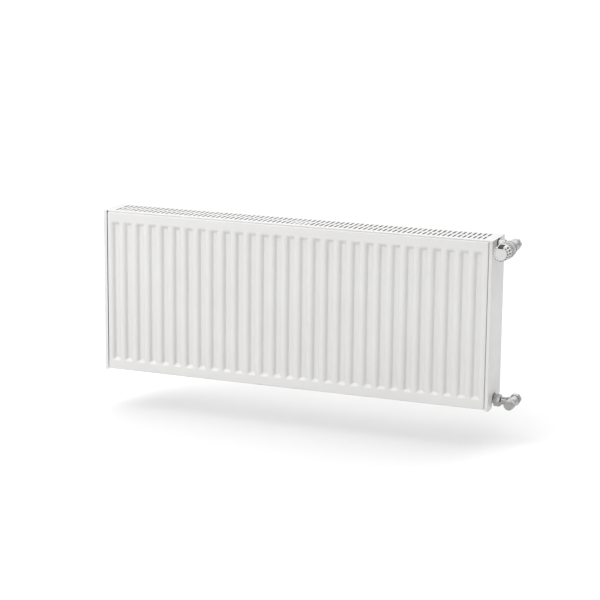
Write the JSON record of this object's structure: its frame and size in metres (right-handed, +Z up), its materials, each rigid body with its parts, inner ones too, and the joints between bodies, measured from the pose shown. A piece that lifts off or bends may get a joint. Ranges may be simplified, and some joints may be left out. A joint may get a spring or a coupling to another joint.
{
  "type": "panel radiator with valves",
  "caption": "Low white double-panel steel radiator with vertical flutes, slotted top grille, side covers, a thermostatic valve at the upper right and a lockshield valve at the lower right.",
  "frame": {"origin": "mid-length, in the wall-side plane of the hanging lugs, at the height where the upper lugs bear on their brackets", "axes": "+X along the length to the viewer's right, where the valves are; +Y towards the wall; +Z up"},
  "size_m": [1.0604, 0.167, 0.4096],
  "materials": {
    "white_enamel": "satin powder-coated steel",
    "nickel_plate": "satin nickel-plated brass",
    "brass": "machined brass",
    "spring_steel": "drawn stainless wire and bar",
    "white_plastic": "fine-textured moulded plastic",
    "dark_window": "smoked glossy plastic",
    "sensor_plastic": "dark moulded plastic",
    "rubber": "black elastomer"
  },
  "bodies": {
    "radiator": {"front_panel_outer_sheet": "white_enamel", "front_panel_inner_sheet": "white_enamel", "rear_panel_outer_sheet": "white_enamel", "rear_panel_inner_sheet": "white_enamel", "front_convector": "white_enamel", "rear_convector": "white_enamel", "upper_left_tee": "white_enamel", "lower_left_tee": "white_enamel", "upper_right_tee": "white_enamel", "lower_right_tee": "white_enamel", "left_side_cover": "white_enamel", "right_side_cover": "white_enamel", "upper_left_lug": "white_enamel", "lower_left_lug": "white_enamel", "upper_right_lug": "white_enamel", "lower_right_lug": "white_enamel", "centre_stay": "white_enamel", "air_vent_plug": "nickel_plate", "blanking_plug": "nickel_plate", "thermostat_tailpiece": "nickel_plate", "thermostat_union_nut": "nickel_plate", "thermostat_body": "nickel_plate", "head_collar_nut": "nickel_plate", "thermostat_inlet_nut": "nickel_plate", "lockshield_tailpiece": "nickel_plate", "lockshield_union_nut": "nickel_plate", "lockshield_body": "nickel_plate", "lockshield_inlet_nut": "nickel_plate", "valve_insert": "brass", "thermostat_inlet_olive": "brass", "lockshield_inlet_olive": "brass", "lockshield_gland": "brass", "valve_return_spring": "spring_steel", "head_base": "white_plastic", "air_vent_o_ring": "rubber", "blanking_plug_o_ring": "rubber", "valve_pin_o_ring": "rubber", "lockshield_o_ring": "rubber"},
    "grille": {"top_grille": "white_enamel"},
    "thermostat_handwheel": {"handwheel": "white_plastic", "head_end_cap": "white_plastic", "indicator_window": "dark_window"},
    "thermostat_plunger": {"valve_pin": "spring_steel", "valve_disc": "rubber", "push_sleeve": "white_plastic", "sensor_capsule": "sensor_plastic"},
    "lockshield_cover": {"lockshield_cap": "nickel_plate"},
    "lockshield_spindle": {"regulating_screw": "brass"},
    "lockshield_plug": {"regulating_cone": "brass"},
    "vent_screw": {"bleed_screw": "nickel_plate"}
  },
  "joints": [
    {"name": "handwheel_turn", "type": "hinge", "parent": "radiator", "child": "thermostat_handwheel", "pos_m": [0.534, -0.14, 0.046], "axis": [0, -1, 0], "range_deg": [-150, 150]},
    {"name": "plunger_travel", "type": "slide", "parent": "radiator", "child": "thermostat_plunger", "axis": [0, -1, 0], "range_m": [-0.00199, 0.00199], "deforming": ["valve_return_spring"]},
    {"name": "lockshield_cap_pull", "type": "slide", "parent": "radiator", "child": "lockshield_cover", "axis": [0, -1, 0], "range_m": [0, 0.035]},
    {"name": "regulating_screw_turn", "type": "hinge", "parent": "radiator", "child": "lockshield_spindle", "pos_m": [0.546, -0.08, -0.326], "axis": [0, -1, 0], "range_deg": [-720, 720]},
    {"name": "regulating_cone_travel", "type": "slide", "parent": "radiator", "child": "lockshield_plug", "axis": [0, -1, 0], "range_m": [-0.00249, 0.00249]},
    {"name": "bleed_screw_turn", "type": "hinge", "parent": "radiator", "child": "vent_screw", "pos_m": [-0.493, -0.06, 0.046], "axis": [-1, 0, 0], "range_deg": [0, 360]},
    {"name": "grille_lift", "type": "slide", "parent": "radiator", "child": "grille", "axis": [0, 0, 1], "range_m": [0, 0.06]}
  ],
  "couplings": [
    {"joint": "handwheel_turn", "follows": "plunger_travel", "rad_per_m": 1315},
    {"joint": "regulating_screw_turn", "follows": "regulating_cone_travel", "rad_per_m": 5050}
  ]
}
